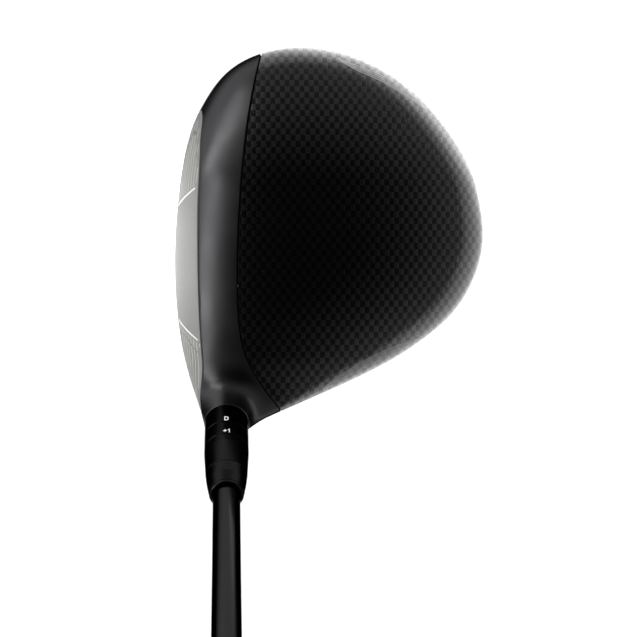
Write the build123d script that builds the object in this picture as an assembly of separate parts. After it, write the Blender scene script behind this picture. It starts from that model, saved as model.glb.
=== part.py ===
"""Right-handed golf driver with an adjustable hosel, at address on flat ground.

Row frame, millimetres: +Z up, -Y towards the target, +X from the toe to the heel and the player.
The origin is on the ground under the centre of the face, in the vertical plane of the shaft axis.
"""

from build123d import *
import math
import os

os.makedirs("parts", exist_ok=True)

# ---------------------------------------------------------------- driving dimensions
LIE = 58.0  # shaft axis above the ground, degrees
LOFT = 10.5  # face tilt at its centre, degrees
OPEN_ANGLE = 1.5  # face turned towards the toe side, degrees
FACE_RADIUS = 254.0  # bulge and roll, 10 inches
FACE_CENTRE = Vector(0, -16.1, 29.2)
AXIS_FOOT = Vector(25.1, 0, 0)  # where the shaft axis meets the ground
CLUB_LENGTH = 1155.7  # 45.5 inches along the axis, ground to butt

FACE_WALL = 2.8
SHELL_WALL = 1.3
FACE_RIM = 0.9  # titanium lip left around the face plate
LEDGE_WALL = 1.2  # step inside the front body that the carbon panels are bonded to
LEDGE_WIDTH = 6.0

RIM_S = 68.2  # top of the hosel, measured up the axis from the ground
LIE_COG_LENGTH = 9.2
LOFT_COG_LENGTH = 6.7
COG_GAP = 0.1
COLLAR_LENGTH = 13.2
FERRULE_LENGTH = 9.9

HOSEL_RADIUS = 7.3
HOSEL_BORE = 5.68
COG_RADIUS = 7.46
SLEEVE_RADIUS = 5.6
SLEEVE_LOW = 32.2
SEAL_S = 60.5  # foot of the groove that holds the sleeve's seal
COLLAR_RADIUS = 7.5
FERRULE_RADIUS = 6.93
SHAFT_TIP_RADIUS = 4.48
SHAFT_BUTT_RADIUS = 7.62
SHAFT_TIP_WALL = 1.9
SHAFT_BUTT_WALL = 1.2
SHAFT_LOW = 47.8
TAPER_LOW = 140.0  # the shaft is parallel below this
SHAFT_HIGH = CLUB_LENGTH - 6

PORT_RADIUS = 5.45  # wrench port through the sole
TUBE_RADIUS = 6.8
SCREW_HEAD_RADIUS = 4.48
SCREW_HEAD_LENGTH = 4.6
SCREW_RADIUS = 2.45
SHELF_BOTTOM_S = 27.3
SHELF_TOP_S = 30.4

GRIP_LENGTH = 268.0
GRIP_MOUTH_RADIUS = 9.6
GRIP_BUTT_RADIUS = 13.3
TAPE_WALL = 0.35
GRIP_LOW = CLUB_LENGTH - GRIP_LENGTH

WEIGHT_RADIUS = 8.4
WEIGHT_DEPTH = 5.0
WEIGHT_PLACE = Vector(0, 77, 8.8)
WEIGHT_TILT = 33.0  # outward axis of the rear weight, degrees behind straight down
HOUSING_RADIUS = 11.0
HOUSING_DEPTH = 11.0
WEIGHT_RECESS = 0.3
WEIGHT_SCREW_RADIUS = 1.85

# ---------------------------------------------------------------- head form
# Each table gives one measure of the head's fore-and-aft section at stations along X.
TOE_X, TOE_BLEND_X, HEEL_BLEND_X, HEEL_X = -70.3, -19.5, 39.0, 65.3
REAR_REACH = [(-69.9, 55.6), (-53.6, 57.7), (-36.1, 61.3), (-19, 66.5), (0, 71.2), (14.6, 69),
              (24.4, 64.7), (32.7, 58), (41.2, 47.1), (49.7, 35.7), (58.5, 22.9), (65.3, 12.7)]
FRONT_REACH = [(-69.9, 49.7), (-53.6, 42.6), (-36.1, 42.1), (-19, 43.9), (0, 44.9), (24.4, 40.9),
               (43.9, 31.2), (49.7, 26.3), (58.5, 22.4), (65.3, 20.5)]
RIDGE_Y = [(-69.9, 26.5), (-19, 23.8), (0, 21.4), (24.4, 17.6), (43.9, 11.7), (58.5, 4.9), (65.3, 1.9)]
CROWN_RISE = [(-69.9, 22.9), (-48.8, 27.5), (-34.1, 31), (-19.5, 33.7), (0, 36.8), (19.5, 34.9),
              (34.1, 28.6), (48.8, 17.3), (58.5, 9.9), (65.3, 7.6)]
SOLE_DROP = [(-69.9, 20.5), (-48.8, 22.7), (-34.1, 24), (-19.5, 25.3), (0, 25.7), (19.5, 25.6),
             (34.1, 21.9), (48.8, 16.1), (58.5, 8.4), (65.3, 5.8)]
EQUATOR_Z = [(-69.9, 26.3), (-48.8, 25.8), (-34.1, 25.3), (-19.5, 25), (0, 24.4), (19.5, 25.3),
             (34.1, 28.3), (48.8, 35.6), (58.5, 42.9), (65.3, 47.8)]
# Exponents of the section's quarters: (rear, front) above and below the equator.
CROWN_POWERS = (1.95, 2.5)
SOLE_POWERS = (1.8, 3.0)
SECTION_POINTS = 28
SECTION_XS = [-70.2, -69.2, -66.8, -62.8, -57, -49.2, -40, -29.2, -16.6, -3, 10.7, 22.4, 32.2, 41,
              48.8, 55.6, 61, 64.5]

# Seam between the titanium front body and the carbon panels, seen from above.
SEAM = [(-78, 14.8), (-56.8, 9.8), (-32.1, 6), (-4.9, 4), (17.6, 3.7), (32.2, 4.6), (40, 6.4),
        (46.8, 10.1), (54.6, 15.8), (70.2, 28.3)]
# Plane that parts the crown panel from the sole panel: height at the origin and slopes.
PARTING_Z, PARTING_SLOPE_X, PARTING_SLOPE_Y = 30.2, 0.10, -0.105
BEYOND = 90.0  # larger than the head, for cutting blocks
SEAM_TURN = 17.0  # where the turned pieces' surfaces start and end, degrees


def along(table, x):
    """Value of a table at x, on a smooth cubic through its stations."""
    xs = [p[0] for p in table]
    k = max(i for i in range(len(xs) - 1) if x >= xs[i] or i == 0)

    def slope(i):
        lo, hi = max(i - 1, 0), min(i + 1, len(xs) - 1)
        return (table[hi][1] - table[lo][1]) / (xs[hi] - xs[lo])

    span = xs[k + 1] - xs[k]
    t = min(max((x - xs[k]) / span, 0.0), 1.0)
    (_, y0), (_, y1) = table[k], table[k + 1]
    return (
        (2 * t**3 - 3 * t**2 + 1) * y0
        + (t**3 - 2 * t**2 + t) * span * slope(k)
        + (3 * t**2 - 2 * t**3) * y1
        + (t**3 - t**2) * span * slope(k + 1)
    )


def closing(x):
    """Share of its full size that the section has at x: it shrinks to nothing at the toe and heel."""
    toe = min(max((x - TOE_BLEND_X) / (TOE_X - TOE_BLEND_X), 0), 1)
    heel = min(max((x - HEEL_BLEND_X) / (HEEL_X - HEEL_BLEND_X), 0), 1)
    return math.sqrt(1 - toe**2) * math.sqrt(1 - heel**2)


def head_section(x, inset):
    """Closed fore-and-aft outline of the head at x, a superellipse with four different quarters."""
    share = closing(x)
    points = []
    for i in range(SECTION_POINTS):
        turn = 2 * math.pi * i / SECTION_POINTS
        c, s = math.cos(turn), math.sin(turn)
        reach = along(REAR_REACH if c >= 0 else FRONT_REACH, x) * share - inset
        rise = along(CROWN_RISE if s >= 0 else SOLE_DROP, x) * share - inset
        power = (CROWN_POWERS if s >= 0 else SOLE_POWERS)[0 if c >= 0 else 1]
        y = along(RIDGE_Y, x) + math.copysign(reach * abs(c) ** (2 / power), c)
        z = along(EQUATOR_Z, x) + math.copysign(rise * abs(s) ** (2 / power), s)
        points.append(Vector(x, y, z))
    even = [i / SECTION_POINTS for i in range(SECTION_POINTS + 1)]
    return Wire([Edge.make_spline(points, periodic=True, parameters=even)])


def pillow(inset=0.0):
    """The head without its face: a loft through the sections, pulled in by inset."""
    first, last = SECTION_XS[0] + inset, SECTION_XS[-1] - inset
    middle = [x for x in SECTION_XS if first + 1 < x < last - 1]
    return Solid.make_loft([head_section(x, inset) for x in [first, *middle, last]])


def face_ball(depth=0.0):
    """Ball whose surface is the face's bulge and roll, moved back by depth."""
    tilt, turn = math.radians(LOFT), math.radians(OPEN_ANGLE)
    normal = Vector(-math.sin(turn) * math.cos(tilt), -math.cos(turn) * math.cos(tilt), math.sin(tilt))
    return Pos(*(FACE_CENTRE - normal * FACE_RADIUS)) * Sphere(FACE_RADIUS - depth)


# ---------------------------------------------------------------- helpers on the two slanted axes
def axis_plane(s):
    """Plane across the shaft axis, s up it from the ground."""
    lie = math.radians(LIE)
    up = Vector(math.cos(lie), 0, math.sin(lie))
    return Plane(origin=AXIS_FOOT + up * s, x_dir=(0, 1, 0), z_dir=up)


def turned(profile):
    """Solid turned about the shaft axis from (radius, s) points joined by straight lines."""
    outline = Polyline(*[(r, 0, s) for r, s in profile], close=True)
    return axis_plane(0).location * Rot(Z=SEAM_TURN) * revolve(make_face(outline), Axis.Z)


def ring(inner, outer, low, high):
    """Plain ring about the shaft axis."""
    return turned([(inner, low), (outer, low), (outer, high), (inner, high)])


def rod(radius, low, high):
    """Plain rod about the shaft axis."""
    return turned([(0, low), (radius, low), (radius, high), (0, high)])


def weight_plane(depth=0.0):
    """Plane across the rear weight's axis, depth inside the head; its normal points out."""
    tilt = math.radians(WEIGHT_TILT)
    out = Vector(0, math.sin(tilt), -math.cos(tilt))
    return Plane(origin=WEIGHT_PLACE - out * depth, x_dir=(1, 0, 0), z_dir=out)


def weight_rod(radius, depth_low, depth_high):
    """Rod on the rear weight's axis between two depths inside the head."""
    height = depth_high - depth_low
    upright = (Align.CENTER, Align.CENTER, Align.MIN)
    return weight_plane(depth_high) * Cylinder(radius, height, align=upright)


def torx_cut(plane, across, depth):
    """Six-lobed socket of a driver bit, open towards the plane's normal."""
    lobes = [Pos(X=across * 0.36) * Circle(across * 0.14)]
    star = Circle(across * 0.36) + [Rot(Z=60 * i) * lobes[0] for i in range(6)]
    return plane * extrude(star, -depth)


# ---------------------------------------------------------------- head pieces
def front_zone():
    """Everything in front of the seam."""
    seam = Spline(*SEAM)
    (x_first, _), (x_last, _) = SEAM[0], SEAM[-1]
    rest = Polyline(SEAM[-1], (x_last, -BEYOND), (x_first, -BEYOND), SEAM[0])
    return Pos(Z=-BEYOND / 2) * extrude(make_face([seam, rest]), 2 * BEYOND)


def above_parting():
    """Everything above the plane between the crown and sole panels."""
    normal = Vector(-PARTING_SLOPE_X, -PARTING_SLOPE_Y, 1)
    plane = Plane(origin=(0, 0, PARTING_Z), z_dir=normal)
    return plane * Box(4 * BEYOND, 4 * BEYOND, BEYOND, align=(Align.CENTER, Align.CENTER, Align.MIN))


def hosel_outside():
    """Hosel above the crown, with a flare where it grows out of the head."""
    return turned([(0, 49), (12.2, 50.7), (10.3, 54.6), (8.8, 58.5), (7.8, 62.4), (HOSEL_RADIUS, 65.8),
                   (HOSEL_RADIUS, RIM_S - 0.4), (HOSEL_RADIUS - 0.4, RIM_S), (0, RIM_S)])


def hosel_bores():
    """Sleeve bore, screw shelf hole and wrench port, as one stepped cutting tool."""
    return turned([(0, -20), (PORT_RADIUS, -20), (PORT_RADIUS, SHELF_BOTTOM_S), (2.9, SHELF_BOTTOM_S),
                   (2.9, SHELF_TOP_S), (HOSEL_BORE, SHELF_TOP_S), (HOSEL_BORE, RIM_S + 5), (0, RIM_S + 5)])


# ---------------------------------------------------------------- the head
flat_ground = Pos(Z=-BEYOND) * Box(4 * BEYOND, 4 * BEYOND, 2 * BEYOND)
outer = (pillow() & face_ball()) - flat_ground
inner = pillow(SHELL_WALL) & face_ball(FACE_WALL)
inner -= Pos(Z=SHELL_WALL) * flat_ground
ledge_inside = pillow(SHELL_WALL + LEDGE_WALL) - Pos(Z=SHELL_WALL + LEDGE_WALL) * flat_ground

front = front_zone()
crown_side = above_parting()
bores = hosel_bores()

face_plate = (pillow(FACE_RIM) & face_ball()) - face_ball(FACE_WALL) - rod(TUBE_RADIUS + 1.2, -20, RIM_S)

tube = rod(TUBE_RADIUS, -12, SHELF_TOP_S + 4) & outer
neck = rod(HOSEL_RADIUS, SHELF_TOP_S, RIM_S - 8)
front_body = (outer & (Pos(Y=LEDGE_WIDTH) * front)) - ledge_inside - (inner & (Pos(Y=-3) * front))
front_body -= (outer - front) - inner
front_body = front_body + tube + neck + hosel_outside()
front_body = front_body - bores - face_plate

housing_block = weight_rod(HOUSING_RADIUS, -20, HOUSING_DEPTH) & outer
flange = (weight_rod(HOUSING_RADIUS + 3.5, -20, HOUSING_DEPTH) & inner) - pillow(SHELL_WALL + 1.2)
rear_weight_housing = housing_block + flange
rear_weight_housing -= weight_rod(WEIGHT_RADIUS + 0.1, -20, WEIGHT_DEPTH + WEIGHT_RECESS)
rear_weight_housing -= weight_rod(4.0, 0, HOUSING_DEPTH - 1)

panels = (outer - inner) - front
crown_panel = panels & crown_side
sole_panel = panels - crown_side - weight_rod(HOUSING_RADIUS, -20, HOUSING_DEPTH)
sole_panel -= rod(TUBE_RADIUS, -20, SHELF_TOP_S)

seat = WEIGHT_RECESS + WEIGHT_DEPTH
weight_insert = weight_rod(4.0, seat + 0.05, HOUSING_DEPTH - 1)
weight_insert -= weight_rod(WEIGHT_SCREW_RADIUS + 0.05, 0, HOUSING_DEPTH)

screw_washer = ring(2.7, 5.3, SHELF_BOTTOM_S - 0.8, SHELF_BOTTOM_S)
screw_retainer = ring(SCREW_RADIUS + 0.1, HOSEL_BORE, SHELF_TOP_S, SHELF_TOP_S + 1.0)

# ---------------------------------------------------------------- rear weight
rear_weight = weight_rod(WEIGHT_RADIUS, WEIGHT_RECESS, seat)
rear_weight = chamfer(rear_weight.edges().group_by(SortBy.LENGTH)[-1], 0.4)
rear_weight -= weight_rod(3.6, 0, WEIGHT_RECESS + 2.9)
rear_weight -= weight_rod(2.2, 0, HOUSING_DEPTH)
weight_washer = weight_rod(3.5, WEIGHT_RECESS + 2.5, WEIGHT_RECESS + 2.9)
weight_washer -= weight_rod(2.2, 0, HOUSING_DEPTH)
weight_screw = weight_rod(3.2, WEIGHT_RECESS + 0.2, WEIGHT_RECESS + 2.45)
weight_screw += weight_rod(WEIGHT_SCREW_RADIUS, WEIGHT_RECESS + 2, HOUSING_DEPTH - 2)
weight_screw -= torx_cut(weight_plane(WEIGHT_RECESS + 0.2), 3.8, 1.6)

# ---------------------------------------------------------------- adjustable hosel
screw_top = SHELF_BOTTOM_S - 0.85
adapter_screw = rod(SCREW_HEAD_RADIUS, screw_top - SCREW_HEAD_LENGTH, screw_top)
adapter_screw += rod(SCREW_RADIUS, screw_top - 1, 44.8)
socket_plane = axis_plane(screw_top - SCREW_HEAD_LENGTH)
from_below = Plane(origin=socket_plane.origin, x_dir=(0, 1, 0), z_dir=-socket_plane.z_dir)
adapter_screw -= torx_cut(from_below, 5.6, 3.2)

cog_seat = RIM_S + 0.05
lie_cog_top = cog_seat + LIE_COG_LENGTH
loft_cog_low = lie_cog_top + COG_GAP
collar_low = loft_cog_low + LOFT_COG_LENGTH + 0.05
collar_high = collar_low + COLLAR_LENGTH
lie_cog = ring(HOSEL_BORE, COG_RADIUS, cog_seat, lie_cog_top)
loft_cog = ring(HOSEL_BORE, COG_RADIUS, loft_cog_low, loft_cog_low + LOFT_COG_LENGTH)

adapter_sleeve = turned([
    (SCREW_RADIUS + 0.05, SLEEVE_LOW), (SLEEVE_RADIUS - 0.5, SLEEVE_LOW), (SLEEVE_RADIUS, SLEEVE_LOW + 0.5),
    (SLEEVE_RADIUS, SEAL_S), (SLEEVE_RADIUS - 0.45, SEAL_S), (SLEEVE_RADIUS - 0.45, SEAL_S + 1.1),
    (SLEEVE_RADIUS, SEAL_S + 1.1), (SLEEVE_RADIUS, collar_low), (COLLAR_RADIUS, collar_low),
    (FERRULE_RADIUS, collar_high), (SHAFT_TIP_RADIUS + 0.06, collar_high),
    (SHAFT_TIP_RADIUS + 0.06, SHAFT_LOW - 0.5), (SCREW_RADIUS + 0.05, SHAFT_LOW - 0.5),
])
sleeve_seal = ring(SLEEVE_RADIUS - 0.45, SLEEVE_RADIUS, SEAL_S + 0.1, SEAL_S + 1.0)

ferrule_high = collar_high + FERRULE_LENGTH
ferrule_bore = SHAFT_TIP_RADIUS + 0.05
ferrule = turned([
    (ferrule_bore, collar_high), (FERRULE_RADIUS, collar_high),
    (5.85, ferrule_high - 1.3), (ferrule_bore, ferrule_high - 1.3),
])
ferrule_ring = turned([
    (ferrule_bore, ferrule_high - 1.3), (5.83, ferrule_high - 1.3), (5.7, ferrule_high - 0.3),
    (5.25, ferrule_high), (ferrule_bore, ferrule_high),
])


# ---------------------------------------------------------------- shaft and grip
def shaft_radius(s):
    """Outer radius of the shaft s up the axis: parallel tip, then one straight taper."""
    share = min(max((s - TAPER_LOW) / (SHAFT_HIGH - TAPER_LOW), 0), 1)
    return SHAFT_TIP_RADIUS + share * (SHAFT_BUTT_RADIUS - SHAFT_TIP_RADIUS)


shaft = turned([
    (SHAFT_TIP_RADIUS - SHAFT_TIP_WALL, SHAFT_LOW), (SHAFT_TIP_RADIUS, SHAFT_LOW),
    (SHAFT_TIP_RADIUS, TAPER_LOW), (SHAFT_BUTT_RADIUS, SHAFT_HIGH),
    (SHAFT_BUTT_RADIUS - SHAFT_BUTT_WALL, SHAFT_HIGH), (SHAFT_TIP_RADIUS - SHAFT_TIP_WALL, TAPER_LOW),
])
tip_plug = rod(SHAFT_TIP_RADIUS - SHAFT_TIP_WALL, SHAFT_LOW, SHAFT_LOW + 12)
mouth = shaft_radius(GRIP_LOW)
grip_tape = turned([
    (mouth, GRIP_LOW), (mouth + TAPE_WALL, GRIP_LOW),
    (SHAFT_BUTT_RADIUS + TAPE_WALL, SHAFT_HIGH), (SHAFT_BUTT_RADIUS, SHAFT_HIGH),
])
grip = turned([
    (mouth + TAPE_WALL, GRIP_LOW), (GRIP_MOUTH_RADIUS - 0.5, GRIP_LOW),
    (GRIP_MOUTH_RADIUS, GRIP_LOW + 0.8), (GRIP_MOUTH_RADIUS, GRIP_LOW + 6),
    (GRIP_BUTT_RADIUS - 0.9, SHAFT_HIGH - 22), (GRIP_BUTT_RADIUS, SHAFT_HIGH),
    (SHAFT_BUTT_RADIUS + TAPE_WALL, SHAFT_HIGH),
])
grip_cap = turned([
    (1.2, SHAFT_HIGH), (GRIP_BUTT_RADIUS, SHAFT_HIGH), (GRIP_BUTT_RADIUS, SHAFT_HIGH + 2.5),
    (GRIP_BUTT_RADIUS - 1.6, CLUB_LENGTH - 0.7), (8.0, CLUB_LENGTH), (1.2, CLUB_LENGTH),
])

# ---------------------------------------------------------------- one STEP per piece
pieces = {
    "face_plate": face_plate, "front_body": front_body, "crown_panel": crown_panel, "sole_panel": sole_panel,
    "rear_weight_housing": rear_weight_housing, "weight_insert": weight_insert, "screw_washer": screw_washer,
    "screw_retainer": screw_retainer, "rear_weight": rear_weight, "weight_washer": weight_washer,
    "weight_screw": weight_screw, "adapter_screw": adapter_screw, "lie_cog": lie_cog, "loft_cog": loft_cog,
    "adapter_sleeve": adapter_sleeve, "sleeve_seal": sleeve_seal, "ferrule": ferrule,
    "ferrule_ring": ferrule_ring, "shaft": shaft, "tip_plug": tip_plug, "grip_tape": grip_tape,
    "grip": grip, "grip_cap": grip_cap,
}
for name, piece in pieces.items():
    export_step(piece, f"parts/{name}.step")
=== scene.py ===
"""Golf driver at address: visual model, studio and camera.

Lengths are millimetres in the row frame, except in materials, floor, lights and camera, which use metres.
"""

import bpy
import math
import numpy as np
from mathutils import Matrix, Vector


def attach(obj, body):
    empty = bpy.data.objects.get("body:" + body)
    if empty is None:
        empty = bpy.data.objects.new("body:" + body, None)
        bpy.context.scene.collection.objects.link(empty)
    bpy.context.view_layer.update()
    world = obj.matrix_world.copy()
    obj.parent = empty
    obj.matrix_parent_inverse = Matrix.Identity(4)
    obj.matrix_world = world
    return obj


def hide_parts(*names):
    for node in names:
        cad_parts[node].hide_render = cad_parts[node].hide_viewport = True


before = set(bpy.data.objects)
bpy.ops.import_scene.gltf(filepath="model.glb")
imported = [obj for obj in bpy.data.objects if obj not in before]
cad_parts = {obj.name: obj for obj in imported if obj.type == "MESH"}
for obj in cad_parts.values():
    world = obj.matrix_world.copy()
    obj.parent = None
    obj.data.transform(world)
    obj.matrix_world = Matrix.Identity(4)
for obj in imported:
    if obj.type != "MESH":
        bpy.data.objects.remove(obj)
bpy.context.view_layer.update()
MM = 0.001

# ---------------- head form, as in the CAD
FACE_RADIUS = 254.0
LOFT, OPEN_ANGLE, LIE = math.radians(10.5), math.radians(1.5), math.radians(58)
TOE_X, TOE_BLEND_X, HEEL_BLEND_X, HEEL_X = -70.3, -19.5, 39.0, 65.3
REAR_REACH = [(-69.9, 55.6), (-53.6, 57.7), (-36.1, 61.3), (-19, 66.5), (0, 71.2), (14.6, 69),
              (24.4, 64.7), (32.7, 58), (41.2, 47.1), (49.7, 35.7), (58.5, 22.9), (65.3, 12.7)]
FRONT_REACH = [(-69.9, 49.7), (-53.6, 42.6), (-36.1, 42.1), (-19, 43.9), (0, 44.9), (24.4, 40.9),
               (43.9, 31.2), (49.7, 26.3), (58.5, 22.4), (65.3, 20.5)]
RIDGE_Y = [(-69.9, 26.5), (-19, 23.8), (0, 21.4), (24.4, 17.6), (43.9, 11.7), (58.5, 4.9), (65.3, 1.9)]
CROWN_RISE = [(-69.9, 22.9), (-48.8, 27.5), (-34.1, 31), (-19.5, 33.7), (0, 36.8), (19.5, 34.9),
              (34.1, 28.6), (48.8, 17.3), (58.5, 9.9), (65.3, 7.6)]
SOLE_DROP = [(-69.9, 20.5), (-48.8, 22.7), (-34.1, 24), (-19.5, 25.3), (0, 25.7), (19.5, 25.6),
             (34.1, 21.9), (48.8, 16.1), (58.5, 8.4), (65.3, 5.8)]
EQUATOR_Z = [(-69.9, 26.3), (-48.8, 25.8), (-34.1, 25.3), (-19.5, 25), (0, 24.4), (19.5, 25.3),
             (34.1, 28.3), (48.8, 35.6), (58.5, 42.9), (65.3, 47.8)]
CROWN_POWERS = (1.95, 2.5)
SOLE_POWERS = (1.8, 3.0)
SEAM = [(-78, 14.8), (-56.8, 9.8), (-32.1, 6), (-4.9, 4), (17.6, 3.7), (32.2, 4.6), (40, 6.4),
        (46.8, 10.1), (54.6, 15.8), (70.2, 28.3)]
PARTING = (30.2, 0.10, -0.105)  # height of the line between crown and sole, its rise along x and along y

AXIS = np.array([math.cos(LIE), 0.0, math.sin(LIE)])
AXIS_FOOT = np.array([25.1, 0.0, 0.0])
ACROSS = np.array([math.sin(LIE), 0.0, -math.cos(LIE)])  # across the axis, downhill to the heel
EAST = np.array([0, 1.0, 0])  # across the axis and level
FACE_NORMAL = np.array([-math.sin(OPEN_ANGLE) * math.cos(LOFT), -math.cos(OPEN_ANGLE) * math.cos(LOFT),
                        math.sin(LOFT)])
FACE_MIDDLE = np.array([0.0, -16.1, 29.2]) - FACE_NORMAL * FACE_RADIUS


def along(table, x):
    """Values of a table at x, on smooth cubics through its stations."""
    xs, ys = np.array(table, float).T
    slopes = np.empty_like(xs)
    slopes[1:-1] = (ys[2:] - ys[:-2]) / (xs[2:] - xs[:-2])
    slopes[0] = (ys[1] - ys[0]) / (xs[1] - xs[0])
    slopes[-1] = (ys[-1] - ys[-2]) / (xs[-1] - xs[-2])
    k = np.clip(np.searchsorted(xs, x, side="right") - 1, 0, len(xs) - 2)
    span = xs[k + 1] - xs[k]
    t = np.clip((x - xs[k]) / span, 0, 1)
    return ((2 * t**3 - 3 * t**2 + 1) * ys[k] + (t**3 - 2 * t**2 + t) * span * slopes[k]
            + (3 * t**2 - 2 * t**3) * ys[k + 1] + (t**3 - t**2) * span * slopes[k + 1])


class Smooth:
    """A table's curve, sampled finely once and faired over a few millimetres."""

    def __init__(self, table, blur=5.0, step=0.1):
        self.xs = np.arange(table[0][0], table[-1][0] + step, step)
        ys = along(table, self.xs)
        reach = int(3 * blur / step)
        padded = np.concatenate([2 * ys[0] - ys[reach:0:-1], ys, 2 * ys[-1] - ys[-2:-reach - 2:-1]])
        bell = np.exp(-0.5 * (np.arange(-reach, reach + 1) * step / blur) ** 2)
        self.ys = np.convolve(padded, bell / bell.sum(), "valid")

    def __call__(self, x):
        return np.interp(x, self.xs, self.ys)


rear, ahead, ridge = Smooth(REAR_REACH), Smooth(FRONT_REACH), Smooth(RIDGE_Y)
rise, drop, equator, seam_y = Smooth(CROWN_RISE), Smooth(SOLE_DROP), Smooth(EQUATOR_Z), Smooth(SEAM)


def pillow_raw(p):
    """Below zero inside the head's rounded form."""
    x, y, z = p[..., 0], p[..., 1], p[..., 2]
    dy, dz = y - ridge(x), z - equator(x)
    reach = np.where(dy >= 0, rear(x), ahead(x))
    height = np.where(dz >= 0, rise(x), drop(x))
    power = np.where(dz >= 0, np.where(dy >= 0, CROWN_POWERS[0], CROWN_POWERS[1]),
                     np.where(dy >= 0, SOLE_POWERS[0], SOLE_POWERS[1]))
    g = ((np.abs(dy) / reach) ** power + (np.abs(dz) / height) ** power) ** (2 / power)
    toe = np.maximum(0, (x - TOE_BLEND_X) / (TOE_X - TOE_BLEND_X))
    heel = np.maximum(0, (x - HEEL_BLEND_X) / (HEEL_X - HEEL_BLEND_X))
    return g - (1 - toe**2) * (1 - heel**2)


def slope_of(field, p, step=0.05):
    """Gradient of a field at points p."""
    g = np.empty_like(p)
    for k in range(3):
        d = np.zeros(3)
        d[k] = step
        g[..., k] = (field(p + d) - field(p - d)) / (2 * step)
    return g


def pillow(p):
    """Near the surface, the distance to the head's rounded form."""
    raw = pillow_raw(p)
    g = np.linalg.norm(slope_of(pillow_raw, p), axis=-1)
    return raw / np.maximum(g, 0.012)


def face_ball(p):
    """Distance to the ball that shapes the face, below zero inside it."""
    return np.linalg.norm(p - FACE_MIDDLE, axis=-1) - FACE_RADIUS


def on_axis(p):
    """(distance up the shaft axis from the ground, distance from the axis)."""
    s = (p - AXIS_FOOT) @ AXIS
    return s, np.linalg.norm(p - AXIS_FOOT - s[..., None] * AXIS, axis=-1)


def smooth_min(a, b, k):
    """The smaller of two fields, rounded over k where they are close."""
    h = np.clip(0.5 + 0.5 * (b - a) / k, 0, 1)
    return b + (a - b) * h - k * h * (1 - h)


HOSEL_R, RIM_S = 7.3, 68.2  # the hosel's radius, and its rim's distance up the shaft axis
HOSEL_START = 38.0
BLEND = 9.0  # how softly the hosel runs into the head
CREASE = 0.7  # rounding of the face's edge
SOLE_ROUND = 0.8  # rounding round the flat on the sole


def hosel(p):
    """Distance to the hosel's outside: a rod that ends well inside the head."""
    s, r = on_axis(p)
    return np.maximum(r - HOSEL_R, HOSEL_START - s)


def ground(p):
    """Distance to the ground, above zero under it."""
    return -p[..., 2]


def body_skin(p):
    """The head's whole outside: the form cut by the face and by its flat rest, and joined to the hosel."""
    cut = -smooth_min(-pillow(p), -face_ball(p), CREASE)
    cut = -smooth_min(-cut, -ground(p), SOLE_ROUND)
    return smooth_min(cut, hosel(p), BLEND)


def to_surface(p, field, rounds=4):
    """Points moved onto the field's zero along its slope."""
    for _ in range(rounds):
        g = slope_of(field, p)
        p = p - g * (field(p) / np.maximum((g * g).sum(-1), 1e-6))[..., None]
    return p


def unit(v):
    return v / np.maximum(np.linalg.norm(v, axis=-1, keepdims=True), 1e-9)


def net_of(field, low, high, step):
    """Quads of the field's zero surface: one vertex in each grid cell that it crosses."""
    axes = [np.arange(a, b + step, step) for a, b in zip(low, high)]
    grid = np.stack(np.meshgrid(*axes, indexing="ij"), -1)
    value = np.concatenate([field(part) for part in np.array_split(grid, 24)])
    inside = value < 0
    total = np.zeros(tuple(n - 1 for n in inside.shape) + (3,))
    count = np.zeros(total.shape[:3])
    edges = []
    for k in range(3):
        a = [slice(None)] * 3
        b = [slice(None)] * 3
        a[k], b[k] = slice(None, -1), slice(1, None)
        cross = inside[tuple(a)] != inside[tuple(b)]
        i = np.argwhere(cross)
        j = i.copy()
        j[:, k] += 1
        va, vb = value[tuple(i.T)], value[tuple(j.T)]
        at = grid[tuple(i.T)] + (grid[tuple(j.T)] - grid[tuple(i.T)]) * (va / (va - vb))[:, None]
        edges.append((k, i, inside[tuple(i.T)]))
        u, v = [m for m in range(3) if m != k]
        for du in (0, -1):
            for dv in (0, -1):
                cell = i.copy()
                cell[:, u] += du
                cell[:, v] += dv
                ok = ((cell >= 0) & (cell < count.shape)).all(1)
                np.add.at(total, tuple(cell[ok].T), at[ok])
                np.add.at(count, tuple(cell[ok].T), 1)
    number = -np.ones(count.shape, int)
    used = count > 0
    number[used] = np.arange(used.sum())
    points = total[used] / count[used][:, None]
    quads = []
    for k, i, starts_inside in edges:
        u, v = [(1, 2), (2, 0), (0, 1)][k]
        corner = []
        for du, dv in ((0, 0), (-1, 0), (-1, -1), (0, -1)):
            cell = i.copy()
            cell[:, u] += du
            cell[:, v] += dv
            ok = ((cell >= 0) & (cell < number.shape)).all(1)
            corner.append(np.where(ok, number[tuple(np.where(ok[:, None], cell, 0).T)], -1))
        quad = np.stack(corner, 1)
        quad[~starts_inside] = quad[~starts_inside][:, ::-1]
        quads.append(quad[(quad >= 0).all(1)])
    return points, np.concatenate(quads)


def triangles(quads):
    return np.concatenate([quads[:, [0, 1, 2]], quads[:, [0, 2, 3]]])


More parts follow.
